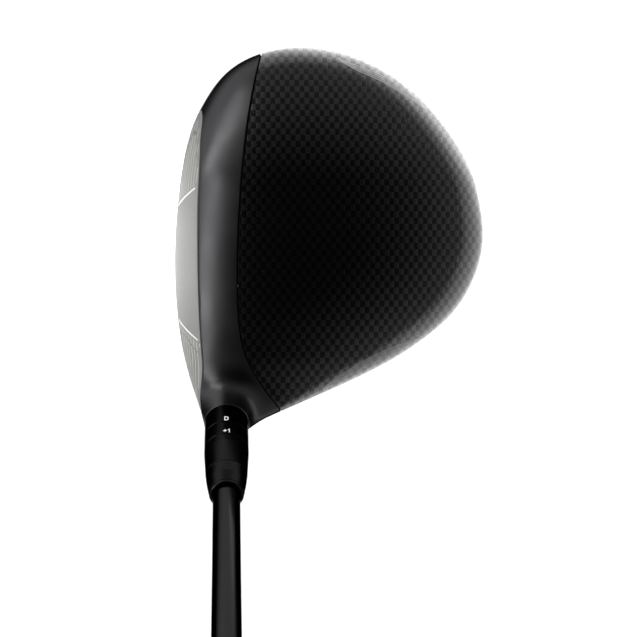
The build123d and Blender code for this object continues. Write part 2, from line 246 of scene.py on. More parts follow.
def split(points, faces, keep, surface, slack=0.2):
    """Cuts a triangle mesh cleanly along keep(p) = 0, on the surface.

    Gives points, faces, and for each face 0 where keep is above zero and 1 where it is below.
    """
    def onto_edge(p):
        for _ in range(5):
            g = slope_of(keep, p)
            n = unit(slope_of(surface, p))
            g = g - n * (g * n).sum(-1, keepdims=True)
            move = g * (keep(p) / np.maximum((g * g).sum(-1), 1e-9))[:, None]
            size = np.linalg.norm(move, axis=1, keepdims=True)
            p = to_surface(p - move * np.minimum(1, 1.5 / np.maximum(size, 1e-9)), surface, 1)
        return p

    value = keep(points)
    size = np.linalg.norm(slope_of(keep, points), axis=1)
    near = np.abs(value) < slack * np.maximum(size, 1e-6)
    points = points.copy()
    points[near] = onto_edge(points[near])
    value = np.where(near, 0.0, value)
    sign = np.where(near, 0, np.sign(value)).astype(int)
    new, out, extra = {}, [], []

    def between(a, b):
        key = (a, b) if a < b else (b, a)
        if key not in new:
            t = value[key[0]] / (value[key[0]] - value[key[1]])
            new[key] = len(points) + len(extra)
            extra.append(points[key[0]] + (points[key[1]] - points[key[0]]) * t)
        return new[key]

    tri_sign = sign[faces]
    mixed = (tri_sign > 0).any(1) & (tri_sign < 0).any(1)
    whole = faces[~mixed]
    far = ((tri_sign[~mixed] < 0).any(1)).astype(int)
    side = []
    for tri in faces[mixed].tolist():
        for way in (1, -1):
            loop = []
            for a, b in ((tri[0], tri[1]), (tri[1], tri[2]), (tri[2], tri[0])):
                if sign[a] * way >= 0:
                    loop.append(a)
                if sign[a] * sign[b] < 0:
                    loop.append(between(a, b))
            for k in range(1, len(loop) - 1):
                out.append((loop[0], loop[k], loop[k + 1]))
                side.append(0 if way == 1 else 1)
    if extra:
        points = np.concatenate([points, onto_edge(np.array(extra))])
    return (points, np.concatenate([whole, np.array(out, int).reshape(-1, 3)]),
            np.concatenate([far, np.array(side, int)]))


def trim(points, faces, keep, surface, slack=0.2):
    """The part of a triangle mesh where keep(p) > 0."""
    points, faces, side = split(points, faces, keep, surface, slack)
    return tidy(points, faces[side == 0])


def tidy(points, faces):
    """Drops the points that no face uses."""
    used = np.unique(faces)
    renumber = -np.ones(len(points), int)
    renumber[used] = np.arange(len(used))
    return points[used], renumber[faces]


def rims(faces):
    """Closed loops of vertices round a triangle mesh's open edges, each with the mesh on its left."""
    edge = np.concatenate([faces[:, [0, 1]], faces[:, [1, 2]], faces[:, [2, 0]]])
    have = set(map(tuple, edge.tolist()))
    after = {}
    for a, b in have:
        if (b, a) not in have:
            after.setdefault(a, []).append(b)
    loops = []
    while after:
        start = next(iter(after))
        loop, here = [start], after[start].pop()
        if not after[start]:
            del after[start]
        while here != start and here in after:
            loop.append(here)
            step = after[here].pop()
            if not after[here]:
                del after[here]
            here = step
        loops.append(loop)
    return [loop for loop in loops if len(loop) > 8]


# ---------------- building pieces
def normals_of(field, p):
    return unit(slope_of(field, p))


def make_piece(name, points, faces, body, material_list, face_material=None, normals=None,
               stands_for=()):
    """A mesh object from millimetre points, riding on a body."""
    mesh = bpy.data.meshes.new(name)
    mesh.from_pydata((np.asarray(points) * MM).tolist(), [], [list(f) for f in faces])
    for m in material_list:
        mesh.materials.append(m)
    if face_material is not None:
        mesh.polygons.foreach_set("material_index", np.asarray(face_material, np.int32))
    mesh.polygons.foreach_set("use_smooth", np.ones(len(mesh.polygons), bool))
    mesh.validate()
    if normals is not None:
        mesh.normals_split_custom_set_from_vertices(np.asarray(normals).tolist())
    mesh.update()
    piece = bpy.data.objects.new(name, mesh)
    bpy.context.scene.collection.objects.link(piece)
    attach(piece, body)
    if stands_for:
        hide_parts(*stands_for)
    return piece


class Shell:
    """Points, faces, normals and a material number for each face, gathered bit by bit."""

    def __init__(self, points, faces, normals, material):
        self.points, self.normals = [np.asarray(points, float)], [np.asarray(normals, float)]
        self.faces, self.material = [list(map(list, faces))], [material.tolist()]
        self.count = len(points)

    def add_points(self, points, normals):
        start = self.count
        self.points.append(np.asarray(points, float))
        self.normals.append(np.asarray(normals, float))
        self.count += len(points)
        return list(range(start, self.count))

    def add_faces(self, faces, material=0):
        self.faces.append([list(f) for f in faces])
        self.material.append([material] * len(faces))

    def band(self, low, high, material=0):
        """Quads between two equal loops; low runs with the mesh on its left and high lies beyond it."""
        n = len(low)
        quads = [(low[(i + 1) % n], low[i], high[i], high[(i + 1) % n]) for i in range(n)]
        self.add_faces(quads, material)

    def skirt(self, loop, rings, material=0):
        """Bands from a rim loop through rings of (points, normals). Gives the last ring's loop."""
        for points, normals in rings:
            after = self.add_points(points, normals)
            self.band(loop, after, material)
            loop = after
        return loop

    def where(self, loop):
        return np.concatenate(self.points)[loop], np.concatenate(self.normals)[loop]

    def parts(self):
        return (np.concatenate(self.points), sum(self.faces, []), sum(self.material, []),
                np.concatenate(self.normals))


def lip(shell, loop, depth, radius, material=0, wall_material=None):
    """Rounds a piece's rim over and carries its wall inwards. Gives the loop at the wall's end."""
    p, n = shell.where(loop)
    run = sum(np.roll(p, -k, 0) - np.roll(p, k, 0) for k in (1, 2, 3))
    run = np.roll(run, 1, 0) + 2 * run + np.roll(run, -1, 0)
    out = unit(np.cross(run, n))
    rings = []
    for turn in (35, 65, 90):
        a = math.radians(turn)
        rings.append((p + out * radius * math.sin(a) - n * radius * (1 - math.cos(a)),
                      unit(n * math.cos(a) + out * math.sin(a))))
    loop = shell.skirt(loop, rings, material)
    walls = [(p + out * radius - n * d, out) for d in (radius + 0.3, depth)]
    return shell.skirt(loop, walls, material if wall_material is None else wall_material)


def close_inside(shell, points, faces, normals, loops, thick):
    """Adds the inner face of a panel, thick behind its outer one, and joins it to the ends of its walls."""
    inner = shell.add_points(points - normals * thick, -normals)
    base = inner[0]
    shell.add_faces([(base + a, base + c, base + b) for a, b, c in faces])
    for loop, end in loops:
        shell.band(end, [base + i for i in loop])


# ---------------- the head's pieces
SEAM_HALF = 0.2  # half the gap along a seam
LIP = 0.25  # rounding of the rims along a seam
PLATE_INSET, PLATE_FROM_AXIS = 1.6, 17.0  # the face plate's margin to the form and to the shaft axis
PORT_BOSS_R = 8.2
EDGE_BAND = 3.2  # the crown is black up to this height over its widest line
PANEL_THICK = 1.3
PORT_R, PORT_TOP = 5.45, 27.2  # the wrench port's radius, and its ceiling's distance up the shaft axis
PORT_REACH = 20.0  # the port comes out of the head below this height
CLEAR = 20.0  # stands for far away in a field that has no say at a place


def parting(p):
    return p[..., 2] - PARTING[0] - PARTING[1] * p[..., 0] - PARTING[2] * p[..., 1]


def front_zone(p):
    """Above zero in the front body: ahead of the seam, or round the wrench port."""
    ahead_by = seam_y(p[..., 0]) - p[..., 1]
    boss = np.where(p[..., 2] < PORT_REACH, PORT_BOSS_R - on_axis(p)[1], -CLEAR)
    return -smooth_min(-ahead_by, -boss, 2.0)


def face_zone(p):
    """Below zero in the face plate: inside the face's edge and clear of the hosel."""
    return -smooth_min(-(pillow(p) + PLATE_INSET), -(PLATE_FROM_AXIS - on_axis(p)[1]), 4.0)


def crease_side(p):
    """Below zero on the face's side of the crease round it."""
    return pillow(p) - face_ball(p)


WEIGHT_TILT = math.radians(33)
WEIGHT_OUT = np.array([0, math.sin(WEIGHT_TILT), -math.cos(WEIGHT_TILT)])
WEIGHT_PLACE = np.array([0, 77, 8.8])
WEIGHT_HOLE_R = 11.1


def from_weight(p):
    """Distance from the rear weight's axis, for points that aren't deep inside the head."""
    v = p - WEIGHT_PLACE
    out = v @ WEIGHT_OUT
    across = np.linalg.norm(v - out[..., None] * WEIGHT_OUT, axis=-1)
    return np.where(out > -9, across, 2 * CLEAR)


CELL = 0.85
skin_points, skin_quads = net_of(body_skin, (-72, -26, -2), (76, 97, 66), CELL)
skin_points = to_surface(skin_points, body_skin)
skin_faces = triangles(skin_quads)


def widest(p):
    """Above zero clear of the head's outline as seen from above."""
    return p[..., 2] - equator(p[..., 0]) - EDGE_BAND


def panel(name, keeps, materials, stands_for):
    """A closed panel: part of the head's skin, with rounded rims, a wall round each and an inner face.

    The materials are for its middle, its rims and walls, and the part below its widest line.
    """
    points, faces = skin_points, skin_faces
    for keep in keeps:
        points, faces = trim(points, faces, keep, body_skin)
    points, faces, side = split(points, faces, widest, body_skin)
    normals = normals_of(body_skin, points)
    shell = Shell(points, faces, normals, 2 * side)
    ends = [(loop, lip(shell, loop, PANEL_THICK, LIP, 1)) for loop in rims(faces)]
    close_inside(shell, points, faces, normals, ends, PANEL_THICK)
    points, faces, numbers, normals = shell.parts()
    make_piece(name, points, faces, "head", materials, numbers, normals, (stands_for,))


LATHE_STEPS = 128


def lathe_points(profile):
    """Ring points and normals about the shaft axis for (r, s, normal_r, normal_s) stations."""
    angle = np.linspace(0, 2 * math.pi, LATHE_STEPS, endpoint=False)
    out = np.cos(angle)[:, None] * ACROSS + np.sin(angle)[:, None] * EAST
    rings = []
    for r, s, nr, ns in profile:
        rings.append((AXIS_FOOT + AXIS * s + out * r, out * nr + AXIS * ns))
    return rings


def rounded_profile(corners):
    """(r, s, normal_r, normal_s) round a closed profile of (r, s, rounding) corners, metal on the left."""
    pts = [np.array(c[:2], float) for c in corners]
    count, stations = len(pts), []
    for i, here in enumerate(pts):
        d0, d1 = unit(here - pts[i - 1]), unit(pts[(i + 1) % count] - here)
        n0, n1 = np.array([d0[1], -d0[0]]), np.array([d1[1], -d1[0]])
        radius = max(corners[i][2], 0.02)
        way = 1 if d0[0] * d1[1] - d0[1] * d1[0] > 0 else -1
        bend = math.acos(max(-1, min(1, float(d0 @ d1))))
        cut = radius * math.tan(bend / 2)
        steps = max(1, round(bend / 0.26)) if radius > 0.05 else 1
        for k in range(steps + 1):
            t = k / steps
            if bend < 1e-6:
                q, n = here, n0
            else:
                centre = here - d0 * cut - n0 * radius * way
                n = unit(n0 * math.sin((1 - t) * bend) + n1 * math.sin(t * bend))
                q = centre + n * radius * way
            stations.append((*q, *n))
    return stations


def lathe(name, corners, body, materials, stands_for, pick=None):
    """A turned piece from (r, s, rounding) corners round its section; pick(s, r) gives a material."""
    stations = rounded_profile(corners)
    rings = lathe_points(stations)
    points = np.concatenate([r[0] for r in rings])
    normals = np.concatenate([r[1] for r in rings])
    faces, numbers = [], []
    for j, (r, s, _, _) in enumerate(stations):
        here, after = j * LATHE_STEPS, (j + 1) % len(rings) * LATHE_STEPS
        for i in range(LATHE_STEPS):
            m = (i + 1) % LATHE_STEPS
            faces.append((here + i, here + m, after + m, after + i))
            numbers.append(pick(s, r) if pick else 0)
    make_piece(name, points, faces, body, materials, numbers, normals, stands_for)


# ---------------- materials
def new_material(name):
    m = bpy.data.materials.new(name)
    m.use_nodes = True
    tree = m.node_tree
    return m, tree, tree.nodes["Principled BSDF"]


def node(tree, kind, **sets):
    n = tree.nodes.new(kind)
    for key, value in sets.items():
        if key in n.inputs:
            n.inputs[key].default_value = value
        else:
            setattr(n, key, value)
    return n


def coordinates(tree, scale):
    """Object coordinates in multiples of a length in metres."""
    where = node(tree, "ShaderNodeTexCoord")
    mapping = node(tree, "ShaderNodeMapping")
    mapping.inputs["Scale"].default_value = scale
    tree.links.new(where.outputs["Object"], mapping.inputs["Vector"])
    return mapping.outputs["Vector"]


def mix_colours(tree, factor, low, high):
    mix = node(tree, "ShaderNodeMix", data_type="RGBA")
    mix.inputs["A"].default_value = (*low, 1)
    mix.inputs["B"].default_value = (*high, 1)
    tree.links.new(factor, mix.inputs["Factor"])
    return mix.outputs["Result"]


def ramp(tree, value, low, high, out_low, out_high):
    r = node(tree, "ShaderNodeMapRange")
    for key, v in zip(("From Min", "From Max", "To Min", "To Max"), (low, high, out_low, out_high)):
        r.inputs[key].default_value = v
    tree.links.new(value, r.inputs["Value"])
    return r.outputs["Result"]


def noise(tree, vector, scale, detail=3.0):
    n = node(tree, "ShaderNodeTexNoise")
    n.inputs["Scale"].default_value = scale
    n.inputs["Detail"].default_value = detail
    tree.links.new(vector, n.inputs["Vector"])
    return n.outputs["Fac"]


ROUGH_SPREAD = 0.04
COAT_ROUGH = 0.05


def speckled(name, low, high, metallic, rough, scale=1500.0, bump=0.02, coat=0.0, stretch=(1, 1, 1),
             specular=0.5, edge=1.0):
    """Paint, plastic or metal with a fine mottle in its colour, roughness and surface.

    Edge is the specular tint, which for a metal is how bright it turns at a glancing angle.
    """
    m, tree, shader = new_material(name)
    shader.inputs["Specular Tint"].default_value = (edge, edge, edge, 1)
    vector = coordinates(tree, stretch)
    fine = noise(tree, vector, scale)
    broad = noise(tree, vector, scale / 25, 2.0)
    tree.links.new(mix_colours(tree, fine, low, high), shader.inputs["Base Color"])
    roughness = ramp(tree, broad, 0.3, 0.7, rough - ROUGH_SPREAD, rough + ROUGH_SPREAD)
    tree.links.new(roughness, shader.inputs["Roughness"])
    b = node(tree, "ShaderNodeBump")
    b.inputs["Strength"].default_value = bump
    b.inputs["Distance"].default_value = 0.0002
    tree.links.new(fine, b.inputs["Height"])
    tree.links.new(b.outputs["Normal"], shader.inputs["Normal"])
    shader.inputs["Metallic"].default_value = metallic
    shader.inputs["Coat Weight"].default_value = coat
    shader.inputs["Coat Roughness"].default_value = COAT_ROUGH
    shader.inputs["Specular IOR Level"].default_value = specular
    return m


TOW_X, TOW_Y = 0.0022, 0.0017  # metres between tows, along X and along Y


def carbon_weave(name):
    """Gloss clear coat over a plain weave of tows that run along X and Y."""
    m, tree, shader = new_material(name)
    vector = coordinates(tree, (1 / TOW_X, 1 / TOW_Y, 1 / TOW_Y))
    parts = node(tree, "ShaderNodeSeparateXYZ")
    tree.links.new(vector, parts.inputs["Vector"])

    def maths(kind, a, b=None):
        n = node(tree, "ShaderNodeMath", operation=kind)
        for socket, v in zip(n.inputs, (a, b)):
            if v is None:
                continue
            if isinstance(v, (int, float)):
                socket.default_value = v
            else:
                tree.links.new(v, socket)
        return n.outputs["Value"]

    x, y = parts.outputs["X"], parts.outputs["Y"]
    over = maths("MODULO", maths("ADD", maths("FLOOR", x), maths("FLOOR", y)), 2.0)
    over = maths("ABSOLUTE", over)  # 1 where the tow along X lies on top, 0 where the one along Y does
    pick = node(tree, "ShaderNodeMix", data_type="FLOAT")
    tree.links.new(over, pick.inputs["Factor"])
    for place, socket in ((x, "A"), (y, "B")):
        wave = maths("ABSOLUTE", maths("SINE", maths("MULTIPLY", place, math.pi)))
        tree.links.new(maths("POWER", wave, 1.2), pick.inputs[socket])
    height = pick.outputs["Result"]
    fibre = noise(tree, coordinates(tree, (1, 1, 1)), 4200.0, 2.0)
    base = mix_colours(tree, over, (0.0006, 0.0006, 0.0006), (0.0010, 0.0010, 0.0010))
    tree.links.new(base, shader.inputs["Base Color"])
    tint = mix_colours(tree, over, (0.02, 0.02, 0.02), (1, 1, 1))
    tree.links.new(tint, shader.inputs["Specular Tint"])
    tree.links.new(ramp(tree, over, 0, 1, 0.34, 0.26), shader.inputs["Roughness"])
    b = node(tree, "ShaderNodeBump")
    b.inputs["Strength"].default_value = 0.25
    b.inputs["Distance"].default_value = 0.00012
    tree.links.new(maths("ADD", height, maths("MULTIPLY", fibre, 0.08)), b.inputs["Height"])
    tree.links.new(b.outputs["Normal"], shader.inputs["Normal"])
    shader.inputs["Metallic"].default_value = 0.0
    shader.inputs["Specular IOR Level"].default_value = 0.5
    shader.inputs["Coat Weight"].default_value = 1.0
    shader.inputs["Coat IOR"].default_value = 1.25
    shader.inputs["Coat Roughness"].default_value = 0.06
    return m


face_steel = speckled("face_steel", (0.28, 0.28, 0.277), (0.32, 0.32, 0.315), 1.0, 0.42, 900.0, 0.05,
                      stretch=(1, 1, 0.08), edge=0.35)
face_groove = speckled("face_groove", (0.46, 0.46, 0.43), (0.54, 0.54, 0.51), 1.0, 0.5, 1600.0, 0.05,
                       edge=0.75)
edge_black = speckled("edge_black", (0.003, 0.003, 0.003), (0.005, 0.005, 0.005), 0.0, 0.34, 1600.0, 0.01,
                      specular=0.12)
satin_grey = speckled("satin_grey", (0.058, 0.058, 0.06), (0.070, 0.070, 0.072), 1.0, 0.32, 2600.0, 0.03,
                      edge=0.1)
weave = carbon_weave("carbon_weave")
seam_dark = speckled("seam_dark", (0.002, 0.002, 0.002), (0.003, 0.003, 0.003), 0.0, 0.6, specular=0.0)
stripe_grey = speckled("stripe_grey", (0.05, 0.05, 0.052), (0.08, 0.08, 0.082), 0.6, 0.3, coat=1.0)
gloss_black = speckled("gloss_black", (0.018, 0.018, 0.018), (0.022, 0.022, 0.022), 1.0, 0.22, 1800.0, 0.01,
                       edge=0.0)
shaft_black = speckled("shaft_black", (0.028, 0.028, 0.028), (0.032, 0.032, 0.032), 1.0, 0.15, 1800.0, 0.01,
                       edge=0.0)
mark_white = speckled("mark_white", (0.80, 0.80, 0.79), (0.86, 0.86, 0.85), 0.0, 0.5, 2500.0)
steel = speckled("machined_steel", (0.42, 0.42, 0.43), (0.55, 0.55, 0.56), 1.0, 0.26, 2200.0, 0.03)
dark_metal = speckled("dark_metal", (0.028, 0.028, 0.030), (0.045, 0.045, 0.047), 0.8, 0.34, 2200.0, 0.03)
tungsten = speckled("tungsten", (0.16, 0.16, 0.165), (0.22, 0.22, 0.225), 1.0, 0.32, 2200.0, 0.03)
brass = speckled("brass", (0.60, 0.42, 0.18), (0.70, 0.50, 0.24), 1.0, 0.3, 2200.0, 0.03)
rubber = speckled("grip_rubber", (0.010, 0.010, 0.0105), (0.018, 0.018, 0.0185), 0.0, 0.72, 2400.0, 0.25,
                  specular=0.35)
plastic = speckled("plug_plastic", (0.03, 0.03, 0.03), (0.05, 0.05, 0.05), 0.0, 0.5, 2400.0, 0.05)
paper = speckled("tape_paper", (0.62, 0.60, 0.54), (0.74, 0.72, 0.66), 0.0, 0.85, 1800.0, 0.1)

# ---------------- carbon panels
def behind_seam(p):
    return -front_zone(p) - SEAM_HALF - LIP


def above_parting(p):
    return parting(p) - LIP - 0.04


def below_parting(p):
    return -parting(p) - LIP - 0.04


def round_weight(p):
    return from_weight(p) - WEIGHT_HOLE_R - LIP


panel("crown_skin", [behind_seam, above_parting], [weave, seam_dark, edge_black],
      "crown_panel")
panel("sole_skin", [behind_seam, below_parting, round_weight], [weave, seam_dark, weave],
      "sole_panel")

# ---------------- front body with its hosel and wrench port
PLATE_GAP = 0.02
PLATE_LIP = 0.02
MOUTH = 0.35  # the rims of hosel and port start this far from their edges
CLEAR_OF_PORT = 9.0
HOSEL_BORE = [  # (radius, distance up the axis, normal outwards, normal up), from the rim into the hosel
    (7.2, 68.1, 0.7, 0.7), (6.95, 68.2, 0.1, 1), (5.95, 68.2, 0, 1), (5.74, 68.08, -0.7, 0.7),
    (5.68, 67.8, -1, 0), (5.68, 30.6, -1, 0), (5.66, 30.4, 0, 1), (3.0, 30.4, 0, 1), (2.83, 30.2, -1, 0),
    (2.83, 27.4, -1, 0), (2.9, 27.3, 0, -1), (5.4, 27.3, 0, -1), (PORT_R, PORT_TOP, -1, 0)]
HOSEL_RIM_RINGS = 5


def ahead_of_seam(p):
    return front_zone(p) - SEAM_HALF - LIP


def round_plate(p):
    return face_zone(p) - PLATE_GAP


def below_rim(p):
    return RIM_S - MOUTH - on_axis(p)[0]


def round_port(p):
    return np.where(p[..., 2] < PORT_REACH, on_axis(p)[1] - PORT_R - MOUTH, CLEAR_OF_PORT)


def painted_edge(p):
    """Above zero on the satin grey; near the toe the face's steel runs 0.5 mm past the crease."""
    return crease_side(p) - 0.5 * np.clip((-36 - p[..., 0]) / 8, 0, 1)


def hosel_mouth(shell, loop, out):
    """The hosel's rim, its bore and the ceiling of the port."""
    rings = [(AXIS_FOOT + AXIS * s + out * r, unit(out * normal_r + AXIS * normal_s))
             for r, s, normal_r, normal_s in HOSEL_BORE]
    end = shell.skirt(loop, rings[:HOSEL_RIM_RINGS], 0)
    shell.skirt(end, rings[HOSEL_RIM_RINGS:], 2)


def port_mouth(shell, loop, out, s):
    """The rim of the wrench port in the sole, and its wall."""
    foot = AXIS_FOOT + AXIS * s[:, None]
    end = shell.skirt(loop, [(foot + AXIS * 0.1 + out * (PORT_R + 0.1), unit(-out - AXIS))], 0)
    shell.skirt(end, [(foot + AXIS * 0.4 + out * PORT_R, -out),
                      (AXIS_FOOT + AXIS * PORT_TOP + out * PORT_R, -out)], 2)


def front_body():
    points, faces = skin_points, skin_faces
    for keep in (ahead_of_seam, round_plate, below_rim, round_port):
        points, faces = trim(points, faces, keep, body_skin)
    points, faces, side = split(points, faces, painted_edge, body_skin)
    shell = Shell(points, faces, normals_of(body_skin, points), side)
    for loop in rims(faces):
        rim = points[loop]
        s, r = on_axis(rim)
        out = unit(rim - AXIS_FOOT - s[:, None] * AXIS)
        if s.min() > RIM_S - 2:
            hosel_mouth(shell, loop, out)
        elif r.max() < 8 and rim[:, 2].mean() < 12:
            port_mouth(shell, loop, out, s)
        elif abs(face_zone(rim)).max() < 1:
            lip(shell, loop, 1.5, PLATE_LIP, 1)
        else:
            lip(shell, loop, 1.6, LIP, 0, 2)
    points, faces, numbers, normals = shell.parts()
    make_piece("front_skin", points, faces, "head", [satin_grey, face_steel, seam_dark], numbers, normals,
               ("front_body",))


front_body()

# ---------------- face plate with its score lines
LINE_PITCH, LINE_TOP, LINE_HALF, LINE_COUNT = 4.1, 51.3, 0.75, 11
LINE_ZS = [LINE_TOP - LINE_PITCH * k for k in range(LINE_COUNT)]
CHEVRON_MIDDLE, CHEVRON_HALF = 7.0, 20.4
EDGE_HALF = 0.42  # half the width of the painted lines
LINE_START = 1.2  # score lines start this far out from the slanted lines
GROOVE = 0.22
PLATE_THICK = 2.4


def chevron_edge(z):
    """Half-width of the clear middle of the face at a height: narrowest near the leading edge."""
    return CHEVRON_HALF + 0.165 * np.maximum(z - 12, 0)


def groove_depth(x, z):
    """How deep the face is cut at x, z: 0 on its plain surface, 1 at the bottom of a groove."""
    off = np.abs(x - CHEVRON_MIDDLE) - chevron_edge(z)
    line = np.zeros_like(x)
    for level in LINE_ZS:
        line = np.maximum(line, 1 - np.abs(z - level) / LINE_HALF)
    line = np.clip(line * 2.2, 0, 1) * (off > LINE_START)
    slanted = np.clip((1 - np.abs(off) / EDGE_HALF) * 2.2, 0, 1)
    return np.maximum(line, slanted)


def face_grid():
    """Points and quads on the ball of the face, with rows and columns along the edges of every groove."""
    rows = set(np.round(np.arange(3, 60, 0.9), 3))
    for level in LINE_ZS:
        rows = {z for z in rows if abs(z - level) > 1.0}
        rows |= {round(level + d, 3) for d in (-LINE_HALF, -0.4, 0, 0.4, LINE_HALF)}
    outward = np.arange(0, 70, 0.55)
    steps = np.concatenate([-outward[outward < CHEVRON_HALF], outward])
    columns = [c for c in steps if abs(c) > 0.65 and abs(c - LINE_START) > 0.3]
    columns += [-EDGE_HALF, -0.23, 0, 0.23, EDGE_HALF, LINE_START - 0.05, LINE_START + 0.05]
    off, z = np.meshgrid(np.array(sorted(columns)), np.array(sorted(rows)), indexing="ij")
    edge = chevron_edge(z)
    half = edge + np.where(off < 0, off * edge / CHEVRON_HALF, off)
    x = np.concatenate([CHEVRON_MIDDLE - half[::-1], CHEVRON_MIDDLE + half])
    z = np.concatenate([z[::-1], z])
    y = FACE_MIDDLE[1] - np.sqrt(FACE_RADIUS**2 - (x - FACE_MIDDLE[0])**2 - (z - FACE_MIDDLE[2])**2)
    index = np.arange(x.size).reshape(x.shape)
    quads = np.stack([index[:-1, :-1], index[1:, :-1], index[1:, 1:], index[:-1, 1:]], -1)
    return np.stack([x, y, z], -1).reshape(-1, 3), quads.reshape(-1, 4)


def inside_plate(p):
    return -face_zone(p) - PLATE_GAP


def face_plate():
    points, quads = face_grid()
    points, faces = trim(points, triangles(quads), inside_plate, face_ball, 0.12)
    normals = normals_of(face_ball, points)
    deep = groove_depth(points[:, 0], points[:, 2]) * (pillow(points) < -1.9)
    painted = (deep[faces].mean(1) > 0.3).astype(int)
    shell = Shell(points - normals * (GROOVE * deep)[:, None], faces, normals, painted)
    ends = [(loop, lip(shell, loop, PLATE_THICK, PLATE_LIP)) for loop in rims(faces)]
    close_inside(shell, points, faces, normals, ends, PLATE_THICK)
    points, faces, numbers, _ = shell.parts()
    make_piece("face_skin", points, faces, "head", [face_steel, face_groove], numbers, None,
               ("face_plate",))


face_plate()

# ---------------- sleeve, rings, ferrule, shaft and grip
COG_LOW, COG_TOP, LOFT_LOW, LOFT_TOP = 68.25, 77.45, 77.55, 84.25
COLLAR_LOW, COLLAR_HIGH, FERRULE_HIGH = 84.3, 97.5, 107.4
SLEEVE_LOW, SEAT = 32.2, 47.3  # the sleeve's lower end, and where the shaft's tip sits in it
BORE, SLEEVE, SCREW_BORE = 5.68, 5.6, 2.5
SEAL_R, SEAL_LOW, SEAL_HIGH = 5.15, 60.5, 61.6  # the groove for the sealing ring
TIP, BUTT, SHAFT_WALL, TAPER_START = 4.48, 7.62, 1.2, 140.0  # the shaft's radii at both ends
SHAFT_BORE = TIP - 1.9
FERRULE_BORE = 4.53
SHAFT_HIGH, CLUB_LENGTH = 1149.7, 1155.7
GRIP_LOW = CLUB_LENGTH - 268


def shaft_r(s):
    return TIP + min(max((s - TAPER_START) / (SHAFT_HIGH - TAPER_START), 0), 1) * (BUTT - TIP)


lathe("lie_ring",
      [(BORE, COG_LOW, 0.1), (7.38, COG_LOW, 0.22), (7.44, COG_TOP, 0.22), (BORE, COG_TOP, 0.1)],
      "lie_cog", [gloss_black], ("lie_cog",))
lathe("loft_ring",
      [(BORE, LOFT_LOW, 0.1), (7.44, LOFT_LOW, 0.22), (7.46, LOFT_TOP, 0.22), (BORE, LOFT_TOP, 0.1)],
      "loft_cog", [gloss_black], ("loft_cog",))
lathe("sleeve_skin",
      [(SCREW_BORE, SLEEVE_LOW, 0.1), (5.2, SLEEVE_LOW, 0.1), (SLEEVE, SLEEVE_LOW + 0.5, 0.1),
       (SLEEVE, SEAL_LOW, 0.05), (SEAL_R, SEAL_LOW, 0.05), (SEAL_R, SEAL_HIGH, 0.05),
       (SLEEVE, SEAL_HIGH, 0.05), (SLEEVE, COLLAR_LOW, 0.05), (7.5, COLLAR_LOW, 0.25),
       (7.44, COLLAR_LOW + 3, 3), (6.93, COLLAR_HIGH - 0.03, 0.12), (4.54, COLLAR_HIGH - 0.03, 0.1),
       (4.54, SEAT, 0.1), (SCREW_BORE, SEAT, 0.1)],
      "shaft_assembly", [gloss_black, dark_metal], ("adapter_sleeve",),
      pick=lambda s, r: 0 if s > COLLAR_LOW else 1)
lathe("ferrule_skin",
      [(FERRULE_BORE, COLLAR_HIGH + 0.03, 0.1), (6.93, COLLAR_HIGH + 0.03, 0.12), (6.5, COLLAR_HIGH + 4.2, 8),
       (5.85, FERRULE_HIGH - 1.38, 0.1), (FERRULE_BORE, FERRULE_HIGH - 1.38, 0.05)],
      "shaft_assembly", [gloss_black], ("ferrule",))
lathe("ferrule_end",
      [(FERRULE_BORE, FERRULE_HIGH - 1.3, 0.05), (5.83, FERRULE_HIGH - 1.3, 0.1),
       (5.7, FERRULE_HIGH - 0.3, 0.4), (5.2, FERRULE_HIGH, 0.3), (4.75, FERRULE_HIGH - 0.05, 0.15),
       (FERRULE_BORE, FERRULE_HIGH - 0.5, 0.1)],
      "shaft_assembly", [gloss_black], ("ferrule_ring",))
lathe("shaft_skin",
      [(SHAFT_BORE, SEAT + 0.5, 0.1), (TIP, SEAT + 0.5, 0.3),
       *((shaft_r(s), s, 0.0) for s in (TAPER_START, 340, 540, 740, 940)),
       (BUTT, SHAFT_HIGH, 0.1), (BUTT - SHAFT_WALL, SHAFT_HIGH, 0.1), (SHAFT_BORE, TAPER_START, 0.1)],
      "shaft_assembly", [shaft_black], ("shaft",))


GRIP_ACROSS, GRIP_ROWS = 160, 420
GRIP_PITCH, GRIP_STARTS = 9.0, 5
GRIP_GROOVE, GRIP_RING = 0.32, 0.3
MOUTH_R = 9.1


def grip_radius(s, angle, low, high):
    """A taper with lozenges between two sets of helical grooves, and plain bands with rings at both ends."""
    base = np.interp(s, [low, low + 6, high - 22, high], [9.6, 9.6, 12.4, 13.25])
    one, two = (np.abs((s / GRIP_PITCH + way * angle * GRIP_STARTS / math.pi) % 1 - 0.5) * 2
                for way in (1, -1))
    groove = np.maximum(np.clip((one - 0.8) / 0.12, 0, 1), np.clip((two - 0.8) / 0.12, 0, 1))
    band = np.clip((s - low - 16) / 2, 0, 1) * np.clip((high - 14 - s) / 2, 0, 1)
    ring = sum(np.clip(1 - np.abs(s - q) / 0.7, 0, 1) for q in (low + 9, low + 12, high - 10))
    return base - GRIP_GROOVE * groove * band - GRIP_RING * ring


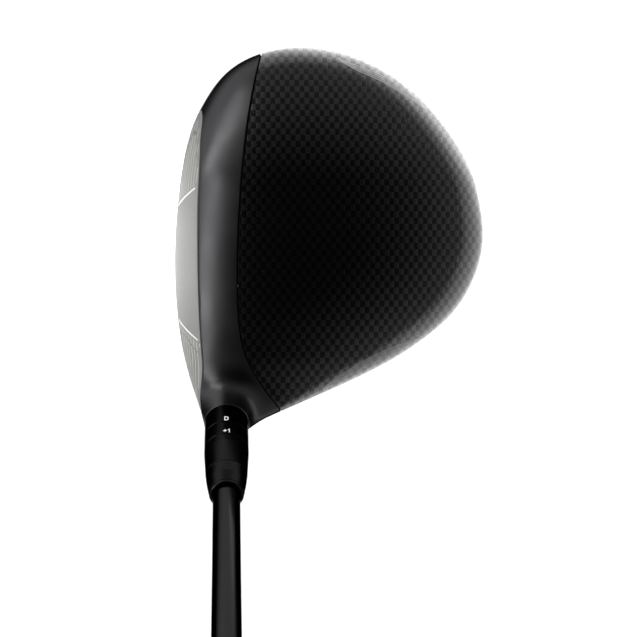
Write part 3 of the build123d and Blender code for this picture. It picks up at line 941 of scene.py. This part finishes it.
def grip_surface(name, low, high, stands_for):
    """The rubber sleeve round the upper end of the shaft, closed by its inner wall."""
    s, angle = np.meshgrid(np.linspace(low, high, GRIP_ROWS),
                           np.linspace(0, 2 * math.pi, GRIP_ACROSS, endpoint=False), indexing="ij")
    out = np.cos(angle)[..., None] * ACROSS + np.sin(angle)[..., None] * EAST
    outer = AXIS_FOOT + AXIS * s[..., None] + out * grip_radius(s, angle, low, high)[..., None]
    rings = [AXIS_FOOT + AXIS * q + out[0] * r
             for q, r in ((low, MOUTH_R), (low, shaft_r(low) + 0.35), (high, BUTT + 0.35))]
    points = np.concatenate([outer.reshape(-1, 3), *rings])
    points[:GRIP_ACROSS] += AXIS * 0.6
    faces = []

    def ring_band(upper, lower):
        for k in range(GRIP_ACROSS):
            m = (k + 1) % GRIP_ACROSS
            faces.append((lower + k, lower + m, upper + m, upper + k))

    starts = [row * GRIP_ACROSS for row in range(GRIP_ROWS + 3)]
    top, mouth, inner_low, inner_high = starts[-4:]
    for row in range(GRIP_ROWS - 1):
        ring_band(starts[row], starts[row + 1])
    ring_band(mouth, 0)
    ring_band(inner_low, mouth)
    ring_band(top, inner_high)
    ring_band(inner_high, inner_low)
    make_piece(name, points, faces, "shaft_assembly", [rubber], None, None, stands_for)


grip_surface("grip_skin", GRIP_LOW, SHAFT_HIGH, ("grip",))
lathe("grip_end",
      [(1.2, SHAFT_HIGH, 0.05), (13.2, SHAFT_HIGH, 0.1), (13.25, SHAFT_HIGH + 3.2, 2.2),
       (11.2, CLUB_LENGTH, 2.0), (6.2, CLUB_LENGTH, 0.3), (5.9, CLUB_LENGTH - 0.5, 0.2),
       (1.2, CLUB_LENGTH - 0.5, 0.1)],
      "shaft_assembly", [rubber], ("grip_cap",))

for name, material in (("rear_weight_housing", dark_metal), ("weight_insert", brass), ("screw_washer", steel),
                       ("screw_retainer", plastic), ("adapter_screw", steel), ("rear_weight", tungsten),
                       ("weight_washer", steel), ("weight_screw", steel), ("sleeve_seal", rubber),
                       ("tip_plug", plastic), ("grip_tape", paper)):
    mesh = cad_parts[name].data
    mesh.materials.clear()
    mesh.materials.append(material)


# ---------------- marks on the adjustment rings
LETTERS = {  # strokes on a unit-high letter, as lists of (right, up)
    "D": [[(0, 0), (0, 1), (0.28, 1), (0.47, 0.93), (0.58, 0.78), (0.62, 0.5), (0.58, 0.22), (0.47, 0.07),
           (0.28, 0), (0, 0)]],
    "+": [[(0, 0.45), (0.56, 0.45)], [(0.28, 0.17), (0.28, 0.73)]],
    "1": [[(0, 0.76), (0.24, 1), (0.24, 0)]],
}
LETTER_WIDTHS = {"D": 0.62, "+": 0.56, "1": 0.24}
LETTER_GAP = 0.34
SUNK, RAISED = -0.06, 0.03  # a stroke's underside and top, from the ring's surface


def left_of(v):
    return np.stack([-v[:, 1], v[:, 0]], 1)


def stroke_sides(line, shut):
    """The sideways step to the edge at each of a stroke's corners, and its first and last directions."""
    legs = unit(np.diff(np.vstack([line, line[:1]]) if shut else line, axis=0))
    before = np.roll(legs, 1, 0) if shut else np.vstack([legs[:1], legs])
    after = legs if shut else np.vstack([legs, legs[-1:]])
    side = unit(left_of(before + after))
    return side / np.maximum((side * left_of(after)).sum(1), 0.6)[:, None], legs[0], legs[-1]


def mark(name, text, s, radius, height, weight, body):
    """Raised strokes wrapped round a ring, facing up, read with the club's grip at the bottom."""
    start = -(sum(LETTER_WIDTHS[c] for c in text) + LETTER_GAP * (len(text) - 1)) / 2
    points, faces = [], []
    for c in text:
        for stroke in LETTERS[c]:
            line = np.array([((start + u) * height, (v - 0.5) * height) for u, v in stroke])
            shut = np.allclose(line[0], line[-1])
            if shut:
                line = line[:-1]
            side, first_leg, last_leg = stroke_sides(line, shut)
            if not shut:
                line[0] -= first_leg * weight / 2
                line[-1] += last_leg * weight / 2
            base = len(points)
            for q, w in zip(line, side):
                for way, lift in ((-0.5, SUNK), (-0.5, RAISED), (0.5, RAISED), (0.5, SUNK)):
                    u, v = q + w * weight * way
                    out = -ACROSS * math.cos(u / radius) + EAST * math.sin(u / radius)
                    points.append(AXIS_FOOT + AXIS * (s - v) + out * (radius + lift))
            n = len(line)
            for k in range(n if shut else n - 1):
                a, b = base + 4 * k, base + 4 * ((k + 1) % n)
                faces += [(a + i, b + i, b + (i + 1) % 4, a + (i + 1) % 4) for i in range(4)]
            if not shut:
                faces.append((base + 3, base + 2, base + 1, base))
                faces.append(tuple(base + 4 * (n - 1) + i for i in range(4)))
        start += LETTER_WIDTHS[c] + LETTER_GAP
    piece = make_piece(name, points, faces, body, [mark_white])
    piece.data.polygons.foreach_set("use_smooth", np.zeros(len(piece.data.polygons), bool))


mark("lie_mark", "D", 76.0, 7.43, 1.8, 0.34, "lie_cog")
mark("loft_mark", "+1", 82.6, 7.45, 1.7, 0.32, "loft_cog")


# ---------------- fine stripes painted on the crown
SLOPE_STEP = 0.05
STRIP_SUNK, STRIP_RAISED = 0.05, 0.035


def crown_at(xy):
    """Points of the crown over plan positions, with their normals."""
    p = np.column_stack([xy, equator(xy[:, 0]) + 10])
    up = np.array([0, 0, SLOPE_STEP])
    for _ in range(30):
        g = (body_skin(p + up) - body_skin(p - up)) / (2 * SLOPE_STEP)
        p[:, 2] += np.clip(-body_skin(p) / np.where(np.abs(g) < 0.05, 0.05, g), -4, 4)
    return p, normals_of(body_skin, p)


def add_strip(points, faces, right, left):
    """A thin solid strip between two (points, normals) lines on a surface, standing just above it."""
    base = len(points)
    for (a, na), (b, nb) in zip(zip(*right), zip(*left)):
        points += [a - na * STRIP_SUNK, a + na * STRIP_RAISED, b + nb * STRIP_RAISED, b - nb * STRIP_SUNK]
    count = len(right[0])
    for m in range(count - 1):
        a, b = base + 4 * m, base + 4 * (m + 1)
        faces += [(a + i, a + (i + 1) % 4, b + (i + 1) % 4, b + i) for i in range(4)]
    end = base + 4 * (count - 1)
    faces += [(base + 3, base + 2, base + 1, base), (end, end + 1, end + 2, end + 3)]


def stripes(name, path, width, lines, thick):
    """A band of fine lines along a path over the crown, narrowing to a point at both ends."""
    path = np.array(path, float)
    run = np.concatenate([[0], np.cumsum(np.linalg.norm(np.diff(path, axis=0), axis=1))])
    t = np.linspace(0, run[-1], 90)
    xy = np.stack([along(np.stack([run, path[:, k]], 1), t) for k in (0, 1)], 1)
    side = left_of(unit(np.gradient(xy, axis=0)))
    swell = np.sin(np.pi * np.clip(t / run[-1], 0, 1)) ** 0.6
    points, faces = [], []
    for k in range(lines):
        offset = (k / (lines - 1) - 0.5) * width * swell
        edges = []
        for way in (-0.5, 0.5):
            shift = offset + way * thick * np.minimum(1, swell * 2.5)
            edges.append(crown_at(xy + side * shift[:, None]))
        add_strip(points, faces, *edges)
    make_piece(name, points, faces, "head", [stripe_grey])


TOE_PATH = [(-65.6, 39.2), (-62.6, 45), (-57.8, 56.2), (-50.4, 67.6), (-46.9, 71.6)]
HEEL_PATH = [(51.2, 33.5), (47.2, 39.5), (41.2, 50), (36.2, 61.5), (33.4, 69.5)]
stripes("toe_stripes", TOE_PATH, 2.2, 4, 0.26)
stripes("heel_stripes", HEEL_PATH, 2.2, 4, 0.26)


# ---------------- score lines that run on beyond the plate
UPPER_LINES = 8  # the lines below these end on the plate
FRONT_END = 62.0


def front_at(x, z):
    """Points of the head's front over x and z, with their normals."""
    p = np.column_stack([x, np.full_like(x, -24.0), z])
    back = np.array([0, SLOPE_STEP, 0])
    for _ in range(40):
        g = (body_skin(p + back) - body_skin(p - back)) / (2 * SLOPE_STEP)
        p[:, 1] -= np.clip(body_skin(p) / np.minimum(g, -0.15), -3, 3)
    return p, normals_of(body_skin, p)


def score_ends():
    points, faces = [], []
    for z in LINE_ZS[:UPPER_LINES]:
        clear = chevron_edge(z) + LINE_START
        for low, high in ((CHEVRON_MIDDLE + clear, FRONT_END), (-FRONT_END, CHEVRON_MIDDLE - clear)):
            x = np.linspace(low, high, 120)
            q, _ = front_at(x, np.full_like(x, z))
            on_face = (face_zone(q) > 0.15) & (crease_side(q) < -0.5) & (np.abs(body_skin(q)) < 0.01)
            x = x[on_face & (on_axis(q)[1] > 10.3)]
            if len(x) > 3:
                right, left = (front_at(x, np.full_like(x, z + d)) for d in (-EDGE_HALF, EDGE_HALF))
                add_strip(points, faces, right, left)
    make_piece("score_ends", points, faces, "head", [face_groove])


score_ends()

# ---------------- floor, light and camera
FLOOR_HALF = 6.0


def add_object(name, data):
    item = bpy.data.objects.new(name, data)
    bpy.context.scene.collection.objects.link(item)
    return item


floor_mesh = bpy.data.meshes.new("floor")
corners = [(x * FLOOR_HALF, y * FLOOR_HALF, 0) for x, y in ((-1, -1), (1, -1), (1, 1), (-1, 1))]
floor_mesh.from_pydata(corners, [], [(0, 1, 2, 3)])
floor_white = speckled("floor_white", (0.93, 0.93, 0.93), (0.96, 0.96, 0.96), 0.0, 0.9, 300.0, 0.0,
                       specular=0.1)
floor_mesh.materials.append(floor_white)
floor = add_object("floor", floor_mesh)

# (sine of the height, brightness) of the studio's surroundings, which are dark overhead
SKY_LEVELS = ((0.2, 0.36), (0.41, 0.33), (0.62, 0.18), (0.79, 0.075), (0.9, 0.016))
SKY_FOOT, SKY_TOP = 0.22, 0.004
world = bpy.data.worlds.new("studio")
bpy.context.scene.world = world
world.use_nodes = True
sky = world.node_tree
background = sky.nodes["Background"]
background.inputs["Strength"].default_value = 1.0
where = node(sky, "ShaderNodeTexCoord")
parts = node(sky, "ShaderNodeSeparateXYZ")
sky.links.new(where.outputs["Generated"], parts.inputs["Vector"])
glow = node(sky, "ShaderNodeValToRGB")
stops = glow.color_ramp.elements
stops[0].color = (SKY_FOOT, SKY_FOOT, SKY_FOOT, 1)
stops[1].color = (SKY_TOP, SKY_TOP, SKY_TOP, 1)
for height, level in SKY_LEVELS:
    stops.new(height).color = (level, level, level, 1)
sky.links.new(parts.outputs["Z"], glow.inputs["Fac"])
sky.links.new(glow.outputs["Color"], background.inputs["Color"])


def aimed_lamp(name, light, place, target):
    lamp = add_object(name, light)
    lamp.location = place
    lamp.rotation_euler = (Vector(target) - Vector(place)).to_track_quat("-Z", "Y").to_euler()
    return lamp


def area_light(name, place, target, width, height, power):
    light = bpy.data.lights.new(name, "AREA")
    light.energy = power
    light.shape = "RECTANGLE"
    light.size = width
    light.size_y = height
    aimed_lamp(name, light, place, target)


SPOT_PLACE = (0, 0, 2.0)  # in line with the camera, so that the object hides its own shadow


def spot_light(name, target, power, cone, blend, soft):
    """Lights the floor from above the object without showing in anything that shines."""
    light = bpy.data.lights.new(name, "SPOT")
    light.energy = power
    light.spot_size = math.radians(cone)
    light.spot_blend = blend
    light.shadow_soft_size = soft
    aimed_lamp(name, light, SPOT_PLACE, target).visible_glossy = False


area_light("face_strip", (0.1, -1.1, 0.84), (0, 0, 0.03), 1.5, 0.34, 7.5)
area_light("toe_strip", (-0.85, -0.85, 0.40), (0, 0, 0.03), 0.9, 0.28, 3.6)
spot_light("pool", (0.01, 0.03, 0), 106, 54, 1.0, 0.03)
spot_light("front_pool", (0.004, -0.03, 0), 470, 2.3, 1.0, 0.02)
spot_light("rear_pool", (-0.12, 0.105, 0), 330, 6.4, 0.9, 0.02)
sun = bpy.data.lights.new("fill", "SUN")
sun.energy = 1.1
sun.angle = math.radians(15)
fill = add_object("fill", sun)
fill.location = (0, 0, 3)
fill.visible_glossy = False

camera_data = bpy.data.cameras.new("camera")
camera_data.lens = 103
camera_data.sensor_width = 36
camera_data.clip_start = 0.01
camera_data.shift_x = 0.14443
camera_data.shift_y = -0.11852
camera = add_object("camera", camera_data)
camera.location = (0.0, 0.0, 0.6825)
camera.rotation_euler = (0, 0, math.radians(90))
scene = bpy.context.scene
scene.camera = camera
scene.view_settings.view_transform = "Standard"
